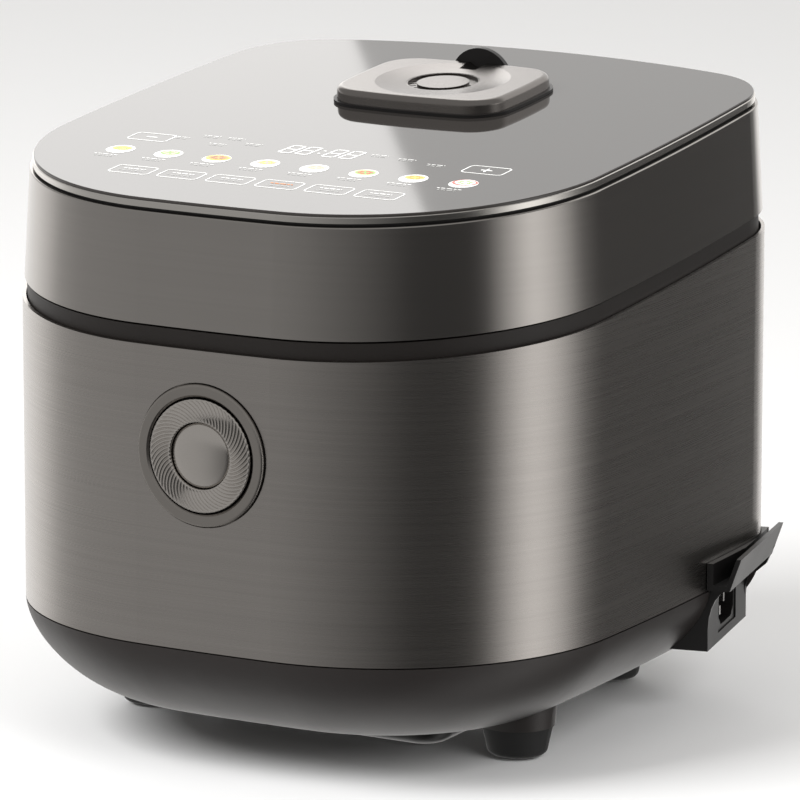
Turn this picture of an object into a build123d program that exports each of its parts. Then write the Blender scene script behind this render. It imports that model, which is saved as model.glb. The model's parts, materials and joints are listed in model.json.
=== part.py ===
from build123d import *
from math import cos, radians, sin, sqrt, tan
import os

# Rice cooker with a tilted glass lid. Millimetres, +Z up, front towards -Y,
# origin on the floor under the middle of the body. The heights below are drawn from
# a bench line ground_z under the feet, and finish() sets every part down on the floor.

# ---- driving dimensions ----
width = 270.0
depth = 300.0
lid_tilt = 4.5
ground_z = 4.0
foot_height = 18.0
floor_z = 22.0
seam_z = 61.0
seam_gap = 0.6
parting_z = 208.0
band_height = 7.3
skirt_height = 47.1
glass_rise = 5.1
shell_wall = 1.5
plastic_wall = 2.6
pot_y = 4.0
pot_radius = 112.0
pot_bottom_z = 66.0
pot_rim_z = 191.3
button_z = 145.0
hinge_y = 138.0
hinge_rise = 12.0
steam_cap_y = 55.5
steam_cap_half = (43.0, 36.0)
running_fit = 0.06
free_gap = 0.3

# ---- body outline, seen from above: four bulging sides with rounded corners ----
front_radius = 900.0
side_radius = 1600.0
rear_radius = 390.0
front_corner_radius = 106.0
rear_corner_radius = 48.0

# ---- worked-out places ----
slope = tan(radians(lid_tilt))
lid_normal = (0, -sin(radians(lid_tilt)), cos(radians(lid_tilt)))
glass_top = skirt_height + glass_rise
hinge_z = parting_z + hinge_y * slope + hinge_rise
front_y = -depth / 2


def parting_height(y):
    return parting_z + y * slope


def outline(plane, inset=0.0):
    """The body's rounded-square outline on a plane, moved in by inset."""
    circles = [(0, front_radius - depth / 2, front_radius), (0, depth / 2 - rear_radius, rear_radius),
               (width / 2 - side_radius, 0, side_radius), (side_radius - width / 2, 0, side_radius)]
    with BuildSketch(plane, mode=Mode.PRIVATE) as sketch:
        for index, (x, y, radius) in enumerate(circles):
            with Locations((x, y)):
                Circle(radius - inset, mode=Mode.INTERSECT if index else Mode.ADD)
        fillet(sketch.vertices().group_by(Axis.Y)[0], front_corner_radius - inset)
        fillet(sketch.vertices().group_by(Axis.Y)[-1], rear_corner_radius - inset)
    return sketch.sketch


def lid_level(height):
    """A plane parallel to the lid's parting plane, centred over the body, height above it."""
    return Plane(origin=(0, 0, parting_z + height / lid_normal[2]), x_dir=(1, 0, 0), z_dir=lid_normal)


def prism(plane, inset, height, taper=0.0):
    """A private solid of the outline, used to cut or to keep."""
    return extrude(outline(plane, inset), amount=height, taper=taper, mode=Mode.PRIVATE)


def faces_up(face):
    """True for a flat face that looks straight out of the lid."""
    return face.normal_at().dot(Vector(lid_normal)) > 0.99


def finish(builder, name):
    """Sets a finished sub-part down on the floor and writes it."""
    placed = builder.part.moved(Location((0, 0, -ground_z)))
    placed.label = name
    export_step(placed, f"parts/{name}.step")


os.makedirs("parts", exist_ok=True)

# ================= base =================
bowl_inset = 44.0
bowl_power = 1.6
bowl_steps = (0.0, 0.25, 0.5, 0.72, 0.88, 0.97, 1.0)
foot_places = [(-90, -42), (90, -42), (-64, 92), (64, 92)]
pillar_radius = 16.0
lip_height = 8.0
fan_hole_radius = 39.5
standoff_places = [(-82, -62), (-82, 62), (-52, -62), (-52, 62)]
cover_screw_places = [(-67, -38), (67, -38), (-67, 38), (67, 38)]
board_z = 32.0


def bowl_level(share):
    """How far the bowl has drawn in at a share of its way down."""
    return bowl_inset * (1 - (1 - share**bowl_power) ** (1 / bowl_power))


def bowl(inset, bottom):
    """The rounded base as a private solid, from the seam down to bottom."""
    drop = seam_z - bottom
    levels = [outline(Plane.XY.offset(seam_z - share * drop), bowl_level(share) + inset) for share in bowl_steps]
    return loft(levels, mode=Mode.PRIVATE)


# inlet frame: X along the face, Y up, Z straight out of the socket
inlet_turn = 12.0
inlet_face = (126.5, 82.0)
inlet_out = (cos(radians(inlet_turn)), sin(radians(inlet_turn)), 0)
inlet_along = (-sin(radians(inlet_turn)), cos(radians(inlet_turn)), 0)
inlet_plane = Plane(origin=(*inlet_face, 0), x_dir=inlet_along, z_dir=inlet_out)
inlet_half = 33.0
inlet_low = 34.0
inlet_high = 60.0
inlet_depth = 28.0

with BuildPart() as base_housing:
    add(bowl(0, floor_z))
    with BuildSketch(Plane.XY.offset(foot_height)):
        with Locations(*foot_places):
            Circle(pillar_radius)
    extrude(amount=seam_z - foot_height - 20, taper=-6)
    extrude(outline(Plane.XY.offset(seam_z), shell_wall + 0.3), amount=lip_height)
    add(bowl(plastic_wall, floor_z + plastic_wall), mode=Mode.SUBTRACT)
    extrude(outline(Plane.XY.offset(seam_z - 1), shell_wall + 0.3 + 2), amount=lip_height + 2, mode=Mode.SUBTRACT)
    with BuildSketch(Plane.XY.offset(floor_z)):
        with Locations(*standoff_places):
            Circle(3.5)
        with Locations(*cover_screw_places):
            Circle(4)
    extrude(amount=board_z - floor_z)
    with BuildSketch(Plane.XY.offset(floor_z - 1)):
        Circle(fan_hole_radius)
        with Locations(*cover_screw_places):
            Circle(1.5)
    extrude(amount=board_z, mode=Mode.SUBTRACT)
    with BuildSketch(Plane.XY.offset(foot_height - 1)):
        with Locations(*foot_places):
            Circle(5)
    extrude(amount=8, mode=Mode.SUBTRACT)
    with BuildSketch(inlet_plane):
        with Locations((0, (inlet_low + inlet_high) / 2)):
            Rectangle(2 * inlet_half + 0.4, inlet_high - inlet_low + 0.4)
    extrude(amount=-inlet_depth - 0.2, mode=Mode.SUBTRACT)
    with BuildSketch(inlet_plane):
        with Locations((0, (inlet_low + inlet_high) / 2)):
            Rectangle(2 * inlet_half + 0.4, inlet_high - inlet_low + 0.4)
    extrude(amount=20, mode=Mode.SUBTRACT)
finish(base_housing, "base_housing")

with BuildPart() as rubber_feet:
    for place in foot_places:
        with BuildSketch(Plane.XY.offset(ground_z + 1.2)):
            with Locations(place):
                Circle(12.5)
        extrude(amount=foot_height - ground_z - 1.2, taper=-12)
        with BuildSketch(Plane.XY.offset(foot_height)):
            with Locations(place):
                Circle(4.9)
        extrude(amount=6)
        with BuildSketch(Plane.XY.offset(ground_z)):
            with Locations(place):
                Circle(2.6)
        extrude(amount=1.2)
    fillet(rubber_feet.edges().filter_by(GeomType.CIRCLE).filter_by(lambda e: abs(e.radius - 12.5) < 0.01), 3)
finish(rubber_feet, "rubber_feet")

# intake cover under the fan
cover_half = (60.0, 58.0)
cover_low = 6.0
cover_wall = 2.0
slot_count = 9
slot_pitch = 10.0

with BuildPart() as bottom_cover:
    with BuildSketch(Plane.XY.offset(cover_low)):
        RectangleRounded(2 * cover_half[0], 2 * cover_half[1], 14)
    extrude(amount=floor_z - cover_low)
    fillet(bottom_cover.faces().sort_by(Axis.Z)[0].edges(), 6)
    with BuildSketch(Plane.XY.offset(cover_low + cover_wall)):
        RectangleRounded(2 * (cover_half[0] - cover_wall), 2 * (cover_half[1] - cover_wall), 12)
    extrude(amount=floor_z, mode=Mode.SUBTRACT)
    with BuildSketch(Plane.XY.offset(floor_z - 2.6)):
        with Locations(*cover_screw_places):
            Circle(5.5)
        for x, y in cover_screw_places:
            with Locations((x - (4 if x > 0 else -4), y)):
                Rectangle(8, 11)
    extrude(amount=2.6)
    with BuildSketch(Plane.XY.offset(cover_low - 1)):
        with GridLocations(slot_pitch, 0, slot_count, 1):
            SlotOverall(70, 4.5, rotation=90)
        with Locations(*cover_screw_places):
            Circle(1.5)
    extrude(amount=floor_z, mode=Mode.SUBTRACT)
finish(bottom_cover, "bottom_cover")

with BuildPart() as base_screws:
    for place in cover_screw_places:
        with BuildSketch(Plane.XY.offset(floor_z - 4.4)):
            with Locations(place):
                Circle(2.8)
        extrude(amount=1.8)
        with BuildSketch(Plane.XY.offset(floor_z - 2.6)):
            with Locations(place):
                Circle(1.42)
        extrude(amount=11)
finish(base_screws, "base_screws")

# ================= shell and collar =================
shell_top_plane = lid_level(-band_height)
collar_depth = band_height + 6
collar_foot_plane = lid_level(-collar_depth)
button_plane = Plane(origin=(0, front_y, button_z), x_dir=(1, 0, 0), z_dir=(0, -1, 0))
bezel_radius = 30.0

with BuildPart() as outer_shell:
    extrude(outline(Plane.XY.offset(seam_z + seam_gap)), amount=170)
    extrude(outline(Plane.XY.offset(seam_z), shell_wall), amount=180, mode=Mode.SUBTRACT)
    split(bisect_by=shell_top_plane, keep=Keep.BOTTOM)
    with BuildSketch(button_plane.offset(10)):
        Circle(bezel_radius + 0.5)
    extrude(amount=-30, mode=Mode.SUBTRACT)
finish(outer_shell, "outer_shell")

collar_inset = 2.2
collar_wall = 2.2
deck_thickness = 3.0
well_radius = 121.0
well_wall = 2.0
ledge_z = 186.0
ledge_thickness = 3.0
ledge_radius = 114.5
latch_slot = (22.0, 13.0)
latch_slot_y = -130.5

with BuildPart() as rim_collar:
    add(prism(collar_foot_plane, collar_inset, collar_depth))
    add(prism(collar_foot_plane.offset(-1), collar_inset + collar_wall, collar_depth + 1 - deck_thickness),
        mode=Mode.SUBTRACT)
    with BuildSketch(Plane.XY.offset(ledge_z)):
        with Locations((0, pot_y)):
            Circle(well_radius + well_wall)
    extrude(amount=60)
    split(bisect_by=lid_level(0), keep=Keep.BOTTOM)
    with BuildSketch(Plane.XY.offset(ledge_z + ledge_thickness)):
        with Locations((0, pot_y)):
            Circle(well_radius)
    extrude(amount=60, mode=Mode.SUBTRACT)
    with BuildSketch(Plane.XY.offset(ledge_z - 1)):
        with Locations((0, pot_y)):
            Circle(ledge_radius)
    extrude(amount=60, mode=Mode.SUBTRACT)
    with BuildSketch(Plane.XY.offset(ledge_z - 10)):
        with Locations((0, latch_slot_y)):
            Rectangle(*latch_slot)
    extrude(amount=60, mode=Mode.SUBTRACT)
finish(rim_collar, "rim_collar")

# ================= pot, heat shield and induction heater =================
carrier_z = 61.0
carrier_thickness = 2.5
shield_radius = 117.0
shield_wall = 1.2

with BuildPart() as heat_shield:
    with BuildSketch(Plane.XY.offset(carrier_z + carrier_thickness)):
        with Locations((0, pot_y)):
            Circle(shield_radius + shield_wall)
            Circle(shield_radius, mode=Mode.SUBTRACT)
    extrude(amount=ledge_z - carrier_z - carrier_thickness)
finish(heat_shield, "heat_shield")

sensor_tube_radius = 17.0
sensor_floor_z = 45.0
sensor_stem_radius = 4.0

with BuildPart() as coil_carrier:
    with BuildSketch(Plane.XY.offset(carrier_z)):
        with Locations((0, pot_y)):
            Circle(shield_radius + 3)
    extrude(amount=carrier_thickness)
    with BuildSketch(Plane.XY.offset(carrier_z)):
        with Locations((0, pot_y)):
            Circle(shield_radius - 0.4)
            Circle(shield_radius - 2.6, mode=Mode.SUBTRACT)
    extrude(amount=14)
    with BuildSketch(Plane.XY.offset(sensor_floor_z)):
        with Locations((0, pot_y)):
            Circle(sensor_tube_radius + 2)
    extrude(amount=carrier_z - sensor_floor_z)
    with BuildSketch(Plane.XY.offset(sensor_floor_z + 2)):
        with Locations((0, pot_y)):
            Circle(sensor_tube_radius)
    extrude(amount=40, mode=Mode.SUBTRACT)
    with BuildSketch(Plane.XY.offset(sensor_floor_z - 1)):
        with Locations((0, pot_y)):
            Circle(sensor_stem_radius + running_fit)
    extrude(amount=10, mode=Mode.SUBTRACT)
finish(coil_carrier, "coil_carrier")

coil_wire = 3.8
coil_turns = [30 + 5 * turn for turn in range(6)] + [68 + 5 * turn for turn in range(6)]

with BuildPart() as induction_coil:
    for radius in coil_turns:
        with BuildSketch(Plane.XY.offset(carrier_z - coil_wire)):
            with Locations((0, pot_y)):
                Circle(radius + coil_wire / 2)
                Circle(radius - coil_wire / 2, mode=Mode.SUBTRACT)
        extrude(amount=coil_wire)
finish(induction_coil, "induction_coil")

with BuildPart() as ferrite_bars:
    with BuildSketch(Plane.XY.offset(carrier_z - coil_wire - 5.2)):
        with Locations((0, pot_y)):
            with PolarLocations(61, 8):
                Rectangle(68, 12)
    extrude(amount=5)
finish(ferrite_bars, "ferrite_bars")

pot_wall = 2.0
pot_corner = 28.0
pot_rim_radius = 119.0

with BuildPart() as inner_pot:
    with BuildSketch(Plane.XY.offset(pot_bottom_z)):
        with Locations((0, pot_y)):
            Circle(pot_radius)
    extrude(amount=pot_rim_z - pot_bottom_z)
    fillet(inner_pot.faces().sort_by(Axis.Z)[0].edges(), pot_corner)
    with BuildSketch(Plane.XY.offset(pot_rim_z - pot_wall)):
        with Locations((0, pot_y)):
            Circle(pot_rim_radius)
    extrude(amount=pot_wall)
    with BuildSketch(Plane.XZ.offset(-pot_y)):
        with BuildLine():
            inner_radius = pot_radius - pot_wall
            inner_corner = pot_corner - pot_wall
            low = pot_bottom_z + pot_wall
            Polyline((inner_radius - inner_corner, low), (0, low), (0, pot_rim_z + 1), (inner_radius, pot_rim_z + 1),
                     (inner_radius, low + inner_corner))
            RadiusArc((inner_radius, low + inner_corner), (inner_radius - inner_corner, low), inner_corner)
        make_face()
    revolve(axis=Axis((0, pot_y, 0), (0, 0, 1)), mode=Mode.SUBTRACT)
finish(inner_pot, "inner_pot")

# spring-loaded temperature sensor under the pot
sensor_top_z = pot_bottom_z - 0.2
sensor_low_z = 56.0

with BuildPart() as thermal_sensor:
    with BuildSketch(Plane.XY.offset(sensor_low_z)):
        with Locations((0, pot_y)):
            Circle(sensor_tube_radius - 2)
    extrude(amount=sensor_top_z - sensor_low_z)
    fillet(thermal_sensor.faces().sort_by(Axis.Z)[-1].edges(), 1.5)
    with BuildSketch(Plane.XY.offset(sensor_floor_z)):
        with Locations((0, pot_y)):
            Circle(sensor_stem_radius)
    extrude(amount=sensor_low_z - sensor_floor_z)
finish(thermal_sensor, "thermal_sensor")


def coil_spring(plane, radius, wire, length, turns):
    """A wound wire spring standing on a plane, as a private solid."""
    path = Helix(pitch=length / turns, height=length, radius=radius, mode=Mode.PRIVATE)
    section_plane = Plane(origin=path @ 0, z_dir=path % 0)
    with BuildSketch(section_plane, mode=Mode.PRIVATE) as section:
        Circle(wire / 2)
    spring = sweep(section.sketch, path=path, is_frenet=True, mode=Mode.PRIVATE)
    return plane.location * spring


with BuildPart() as sensor_spring:
    add(coil_spring(Plane(origin=(0, pot_y, sensor_floor_z + 2.8)), 9, 1.0, 7.4, 3.5))
finish(sensor_spring, "sensor_spring")

# ================= electronics and fan =================
board_place = (-75.0, 0.0)
board_size = (58.0, 140.0)

with BuildPart() as power_board:
    with BuildSketch(Plane.XY.offset(board_z)):
        with Locations(board_place):
            RectangleRounded(*board_size, 3)
    extrude(amount=1.6)
finish(power_board, "power_board")

with BuildPart() as board_components:
    with BuildSketch(Plane.XY.offset(board_z + 1.6)):
        with Locations((-62, -52), (-84, -50)):
            Circle(8.5)
    extrude(amount=14)
    with BuildSketch(Plane.XY.offset(board_z + 1.6)):
        with Locations((-64, 52)):
            Rectangle(22, 16)
        with Locations((-90, 54)):
            Rectangle(14, 20)
        with Locations((-53, -24)):
            Rectangle(8, 18)
    extrude(amount=12)
finish(board_components, "board_components")

fin_count = 7

with BuildPart() as heat_sink:
    with BuildSketch(Plane.XY.offset(board_z + 1.6)):
        with Locations((-80, 4)):
            Rectangle(36, 64)
    extrude(amount=3)
    with BuildSketch(Plane.XY.offset(board_z + 4.6)):
        with Locations((-80, 4)):
            with GridLocations(5.5, 0, fin_count, 1):
                Rectangle(1.6, 64)
    extrude(amount=11)
finish(heat_sink, "heat_sink")

fan_low = 26.0
fan_height = 15.0
fan_half = 41.5
fan_bore = 39.0
blade_count = 7

with BuildPart() as fan_frame:
    with BuildSketch(Plane.XY.offset(floor_z + plastic_wall)):
        RectangleRounded(2 * fan_half, 2 * fan_half, 6)
        Circle(fan_bore, mode=Mode.SUBTRACT)
    extrude(amount=fan_low + fan_height - floor_z - plastic_wall)
    with BuildSketch(Plane.XY.offset(fan_low + fan_height - 2.5)):
        Circle(15)
        with PolarLocations(27, 4, start_angle=45):
            Rectangle(27, 4)
        Circle(1.5 + running_fit, mode=Mode.SUBTRACT)
    extrude(amount=2.5)
finish(fan_frame, "fan_frame")

with BuildPart() as fan_impeller:
    with BuildSketch(Plane.XY.offset(fan_low + 1)):
        Circle(14)
    extrude(amount=10.5)
    with BuildSketch(Plane.XY.offset(fan_low + 11.5)):
        Circle(1.5)
    extrude(amount=3.2)
    with PolarLocations(25, blade_count):
        with Locations(Location((0, 0, fan_low + 6.2), (35, 0, 0))):
            Box(24, 1.6, 11)
finish(fan_impeller, "fan_impeller")

# ================= mains inlet with its drip gutter =================
gutter_floor = 62.0
gutter_start = -37.0
gutter_end = 37.0
web_wall = 2.6
socket_half = 15.0
socket_low = 38.0
socket_high = 57.0
web_plane = Plane(origin=(*inlet_face, 0), x_dir=inlet_out, z_dir=inlet_along)


def across_inlet(start, points, length):
    """A private prism of a profile given as out and up, run along the inlet's face."""
    plane = Plane(origin=web_plane.from_local_coords((0, 0, start)), x_dir=inlet_out,
                  z_dir=(-inlet_along[0], -inlet_along[1], 0))
    with BuildSketch(plane, mode=Mode.PRIVATE) as profile:
        Polygon(*[(out, up) for out, up in points], align=None)
    return extrude(profile.sketch, amount=-length, mode=Mode.PRIVATE)


def web_edge(steps=6):
    """The web's flared outer edge: plumb at first, then curving out to the gutter."""
    low, high, reach = inlet_low + 10, gutter_floor, 10.5
    return [(reach * (1 - cos(radians(90 * step / steps))), low + (high - low) * sin(radians(90 * step / steps)))
            for step in range(steps + 1)]


with BuildPart() as inlet_housing:
    with BuildSketch(inlet_plane):
        with Locations((0, (inlet_low + inlet_high) / 2)):
            Rectangle(2 * inlet_half, inlet_high - inlet_low)
    extrude(amount=-inlet_depth)
    with BuildSketch(inlet_plane.offset(-3)):
        with Locations((0, (inlet_low + inlet_high) / 2)):
            Rectangle(2 * inlet_half - 5, inlet_high - inlet_low - 5)
    extrude(amount=-inlet_depth, mode=Mode.SUBTRACT)
    for start in (-inlet_half, inlet_half - web_wall):
        add(across_inlet(start, [(-3, inlet_low), (0, inlet_low)] + web_edge() + [(-3, gutter_floor)], web_wall))
    add(across_inlet(gutter_start, [(-14, gutter_floor), (10.5, gutter_floor), (15.5, 76.5), (13.4, 76.5),
                                    (9.2, 64.5), (9, 64.5), (9, 74), (-14, 74)], gutter_end - gutter_start))
    add(across_inlet(-inlet_half, [(-2.5, inlet_high - 1), (0, inlet_high - 1), (0, gutter_floor),
                                   (-2.5, gutter_floor)], 2 * inlet_half))
    add(across_inlet(gutter_end - web_wall, [(4, 54), (8.5, 58), (12, 66), (4, 66)], web_wall))
    trough = across_inlet(gutter_start - 1, [(-16, 64.5), (9.1, 64.5), (13.2, 76.5), (13.2, 80), (-16, 80)],
                          gutter_end - gutter_start + 2 - web_wall)
    add(trough - prism(Plane.XY.offset(50), -3, 40), mode=Mode.SUBTRACT)
    add(prism(Plane.XY.offset(seam_z), -0.3, 40), mode=Mode.SUBTRACT)
    add(bowl(-0.2, floor_z) & prism(Plane.XY.offset(inlet_high + 0.1), -5, 1), mode=Mode.SUBTRACT)
    with BuildSketch(inlet_plane.offset(1)):
        with Locations((0, (socket_low + socket_high) / 2)):
            Rectangle(2 * socket_half, socket_high - socket_low)
    extrude(amount=-6, mode=Mode.SUBTRACT)
finish(inlet_housing, "inlet_housing")

socket_depth = 17.0

with BuildPart() as inlet_socket:
    with BuildSketch(inlet_plane.offset(-0.6)):
        with Locations((0, (socket_low + socket_high) / 2)):
            Rectangle(2 * socket_half - 0.4, socket_high - socket_low - 0.4)
    extrude(amount=-socket_depth - 3)
    with BuildSketch(inlet_plane):
        with BuildLine():
            Polyline((-12.5, socket_low + 6), (-12.5, socket_high - 2.2), (12.5, socket_high - 2.2),
                     (12.5, socket_low + 6), (8.5, socket_low + 2.2), (-8.5, socket_low + 2.2), close=True)
        make_face()
    extrude(amount=-socket_depth, mode=Mode.SUBTRACT)
finish(inlet_socket, "inlet_socket")

pin_places = [(-7, socket_high - 8), (7, socket_high - 8), (0, socket_low + 6.5)]

with BuildPart() as inlet_pins:
    with BuildSketch(inlet_plane.offset(-socket_depth)):
        with Locations(*pin_places):
            Rectangle(2, 4)
    extrude(amount=14)
    fillet(inlet_pins.edges().filter_by(lambda e: abs(e.length - 4) < 0.01).group_by(Axis((0, 0, 0), inlet_out))[-1],
           0.6)
finish(inlet_pins, "inlet_pins")

# ================= lid-release button =================
bezel_front = 1.6
bezel_inner = 24.8
swirl_outer = 23.8
swirl_inner = 14.2
knob_radius = 14.0
stem_radius = 6.0
guide_floor = -8.0

with BuildPart() as button_bezel:
    with BuildSketch(button_plane.offset(-5)):
        Circle(bezel_radius)
    extrude(amount=5 + bezel_front)
    fillet(button_bezel.faces().sort_by(Axis.Y)[0].edges(), 1.2)
    with BuildSketch(button_plane.offset(-5)):
        Circle(bezel_radius + 3)
    extrude(amount=2.4)
    with BuildSketch(button_plane.offset(-6)):
        Circle(bezel_inner)
    extrude(amount=12, mode=Mode.SUBTRACT)
    chamfer(button_bezel.faces().sort_by(Axis.Y)[0].edges().sort_by(SortBy.LENGTH)[0], 0.8)
finish(button_bezel, "button_bezel")

with BuildPart() as button_guide:
    with BuildSketch(button_plane.offset(guide_floor - 2.5)):
        Circle(bezel_radius + 3)
    extrude(amount=-5 - guide_floor + 2.5)
    with BuildSketch(button_plane.offset(guide_floor)):
        Circle(bezel_radius)
    extrude(amount=10, mode=Mode.SUBTRACT)
    with BuildSketch(button_plane.offset(guide_floor - 4)):
        Circle(stem_radius + running_fit)
    extrude(amount=10, mode=Mode.SUBTRACT)
finish(button_guide, "button_guide")

with BuildPart() as button_ring:
    with BuildSketch(button_plane.offset(-1)):
        Circle(swirl_outer)
        Circle(swirl_inner, mode=Mode.SUBTRACT)
    extrude(amount=3.2)
    fillet(button_ring.faces().sort_by(Axis.Y)[0].edges(), 1.4)
finish(button_ring, "button_ring")

with BuildPart() as button_cap:
    with BuildSketch(button_plane.offset(-1)):
        Circle(knob_radius)
    extrude(amount=4.4)
    fillet(button_cap.faces().sort_by(Axis.Y)[0].edges(), 2.4)
finish(button_cap, "button_cap")

stem_tip = -14.5

with BuildPart() as button_stem:
    with BuildSketch(button_plane.offset(-2.6)):
        Circle(swirl_outer - 0.4)
    extrude(amount=1.6)
    with BuildSketch(button_plane.offset(-2.6)):
        Circle(stem_radius)
    extrude(amount=stem_tip + 2.6)
    fillet(button_stem.faces().sort_by(Axis.Y)[-1].edges(), 3.5)
finish(button_stem, "button_stem")

with BuildPart() as button_spring:
    spring_plane = Plane(origin=(0, front_y - guide_floor - 0.6, button_z), z_dir=(0, -1, 0))
    add(coil_spring(spring_plane, 10, 0.9, 4.2, 2.5))
finish(button_spring, "button_spring")

# ================= latch =================
pivot_y = -133.5
pivot_z = 172.0
lever_half = 6.0
lever_thickness = 3.0
nose_z = 188.0
nose_height = 3.5
striker_face_y = -129.0
striker_middle_z = 187.0
striker_radius = sqrt((hinge_y - striker_face_y) ** 2 + (hinge_z - striker_middle_z) ** 2)
nose_tip_y = hinge_y - sqrt(striker_radius**2 - (hinge_z - nose_z - nose_height / 2) ** 2) - 0.45
pin_radius = 1.5

with BuildPart() as latch_lever:
    with BuildSketch(Plane.YZ):
        with Locations((pivot_y, (141 + nose_z + nose_height) / 2)):
            Rectangle(lever_thickness, nose_z + nose_height - 141)
        with Locations((pivot_y, pivot_z)):
            Circle(4.5)
        with BuildLine():
            Polyline((pivot_y, nose_z), (nose_tip_y, nose_z), (nose_tip_y - 1.4, nose_z + nose_height),
                     (pivot_y, nose_z + nose_height), close=True)
        make_face()
        with Locations((pivot_y, pivot_z)):
            Circle(pin_radius + running_fit, mode=Mode.SUBTRACT)
    extrude(amount=lever_half, both=True)
finish(latch_lever, "latch_lever")

bracket_back_y = -124.0

with BuildPart() as latch_bracket:
    with BuildSketch(Plane.YZ):
        with BuildLine():
            Polyline((pivot_y - 5, pivot_z - 6), (pivot_y - 5, pivot_z + 6), (bracket_back_y, pivot_z + 8),
                     (bracket_back_y, pivot_z - 8), close=True)
        make_face()
        with Locations((pivot_y, pivot_z)):
            Circle(pin_radius + 0.02, mode=Mode.SUBTRACT)
    extrude(amount=8.5, both=True)
    with BuildSketch(Plane.YZ):
        with Locations((pivot_y - 5, pivot_z)):
            Rectangle(30, 40, align=(Align.MIN, Align.CENTER))
    extrude(amount=6.5, both=True, mode=Mode.SUBTRACT)
    with BuildSketch(Plane.YZ):
        with Locations((bracket_back_y, 143)):
            Rectangle(2.5, parting_height(bracket_back_y) - deck_thickness - 143.2, align=(Align.MIN, Align.MIN))
    extrude(amount=8.5, both=True)
finish(latch_bracket, "latch_bracket")

with BuildPart() as latch_pin:
    with BuildSketch(Plane.YZ):
        with Locations((pivot_y, pivot_z)):
            Circle(pin_radius)
    extrude(amount=9.5, both=True)
finish(latch_pin, "latch_pin")

with BuildPart() as latch_spring:
    add(coil_spring(Plane(origin=(0, bracket_back_y - 0.5, 151), z_dir=(0, -1, 0)), 3, 0.7, 7, 5))
finish(latch_spring, "latch_spring")

striker_half = 8.0
striker_thickness = 2.5
striker_low = 184.5
liner_low = 1.2
liner_thickness = 2.8
liner_top = liner_low + liner_thickness
striker_high = parting_height(-128) + liner_top + 1.5

with BuildPart() as striker:
    with BuildSketch(Plane.YZ):
        with Locations((hinge_y, hinge_z)):
            Circle(striker_radius)
            Circle(striker_radius - striker_thickness, mode=Mode.SUBTRACT)
        with Locations((-129, (striker_low + striker_high) / 2)):
            Rectangle(12, striker_high - striker_low, mode=Mode.INTERSECT)
    extrude(amount=striker_half, both=True)
    with BuildSketch(lid_level(liner_top)):
        with Locations((0, -123)):
            Rectangle(2 * striker_half + 6, 14)
    extrude(amount=2)
finish(striker, "striker")

# ================= hinge =================
tower_half = 76.0
tower_radius = 11.0
bay_half = 78.0
bay_radius = 13.5
tower_front = 127.0
tower_back = 148.6
bay_front = 124.5
arm_inner = 46.0
arm_outer = 56.0
arm_slot = (45.4, 67.0)
hinge_pin_radius = 3.0
hinge_plane = Plane(origin=(0, hinge_y, hinge_z), x_dir=(0, 1, 0), z_dir=(1, 0, 0))
rear_keep = prism(Plane.XY.offset(150), collar_inset, 150)

with BuildPart() as hinge_cover:
    with BuildSketch(hinge_plane):
        Circle(tower_radius)
        with Locations(((tower_front + tower_back) / 2 - hinge_y, -20)):
            Rectangle(tower_back - tower_front, 40)
    extrude(amount=tower_half, both=True)
    split(bisect_by=lid_level(0.05), keep=Keep.TOP)
    add(rear_keep, mode=Mode.INTERSECT)
    for side in (-1, 1):
        slot_middle = side * (arm_slot[0] + arm_slot[1]) / 2
        slot_plane = Plane(origin=(slot_middle, hinge_y, hinge_z), x_dir=(0, 1, 0), z_dir=(1, 0, 0))
        with BuildSketch(slot_plane):
            Circle(9.4)
            with Locations((0, 20)):
                Rectangle(60, 40)
            with Locations((-20, 0)):
                Rectangle(40, 18.8)
        extrude(amount=(arm_slot[1] - arm_slot[0]) / 2, both=True, mode=Mode.SUBTRACT)
    with BuildSketch(hinge_plane):
        Circle(hinge_pin_radius + 0.02)
    extrude(amount=tower_half + 5, both=True, mode=Mode.SUBTRACT)
finish(hinge_cover, "hinge_cover")

with BuildPart() as hinge_pin:
    with BuildSketch(hinge_plane):
        Circle(hinge_pin_radius)
    extrude(amount=tower_half - 1, both=True)
finish(hinge_pin, "hinge_pin")

with BuildPart() as hinge_springs:
    for start in (57.5, -65.7):
        spring_plane = Plane(origin=(start, hinge_y, hinge_z), x_dir=(0, 1, 0), z_dir=(1, 0, 0))
        add(coil_spring(spring_plane, 5.4, 1.4, 8.2, 5))
finish(hinge_springs, "hinge_springs")

with BuildPart() as hinge_arms:
    for side in (-1, 1):
        arm_plane = Plane(origin=(side * (arm_inner + arm_outer) / 2, hinge_y, hinge_z), x_dir=(0, 1, 0),
                          z_dir=(1, 0, 0))
        with BuildSketch(arm_plane):
            Circle(8.6)
            with Locations((-20, 3)):
                Rectangle(40, 9)
            Circle(hinge_pin_radius + running_fit, mode=Mode.SUBTRACT)
        extrude(amount=(arm_outer - arm_inner) / 2, both=True)
        with BuildSketch(lid_level(liner_top)):
            with Locations((side * (arm_inner + arm_outer) / 2, 106)):
                Rectangle(22, 28)
        extrude(amount=2.5)
        with BuildSketch(lid_level(liner_top)):
            with Locations((side * (arm_inner + arm_outer) / 2, 106)):
                Rectangle(arm_outer - arm_inner, 26)
        extrude(amount=14)
finish(hinge_arms, "hinge_arms")

# ================= lid =================
lid_low = 0.9
skirt_foot_inset = 0.8
skirt_top_inset = 3.4
skirt_wall = 1.8


def lid_skirt_form(low, wall):
    """The lid's tapering outside, or its hollow when a wall thickness is given, as a private solid."""
    high = skirt_height + (1 if wall else 0)
    share = (skirt_top_inset - skirt_foot_inset) / (skirt_height - lid_low)
    levels = [outline(lid_level(height), skirt_foot_inset + share * (height - lid_low) + wall)
              for height in (low, high)]
    return loft(levels, ruled=True, mode=Mode.PRIVATE)


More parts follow.
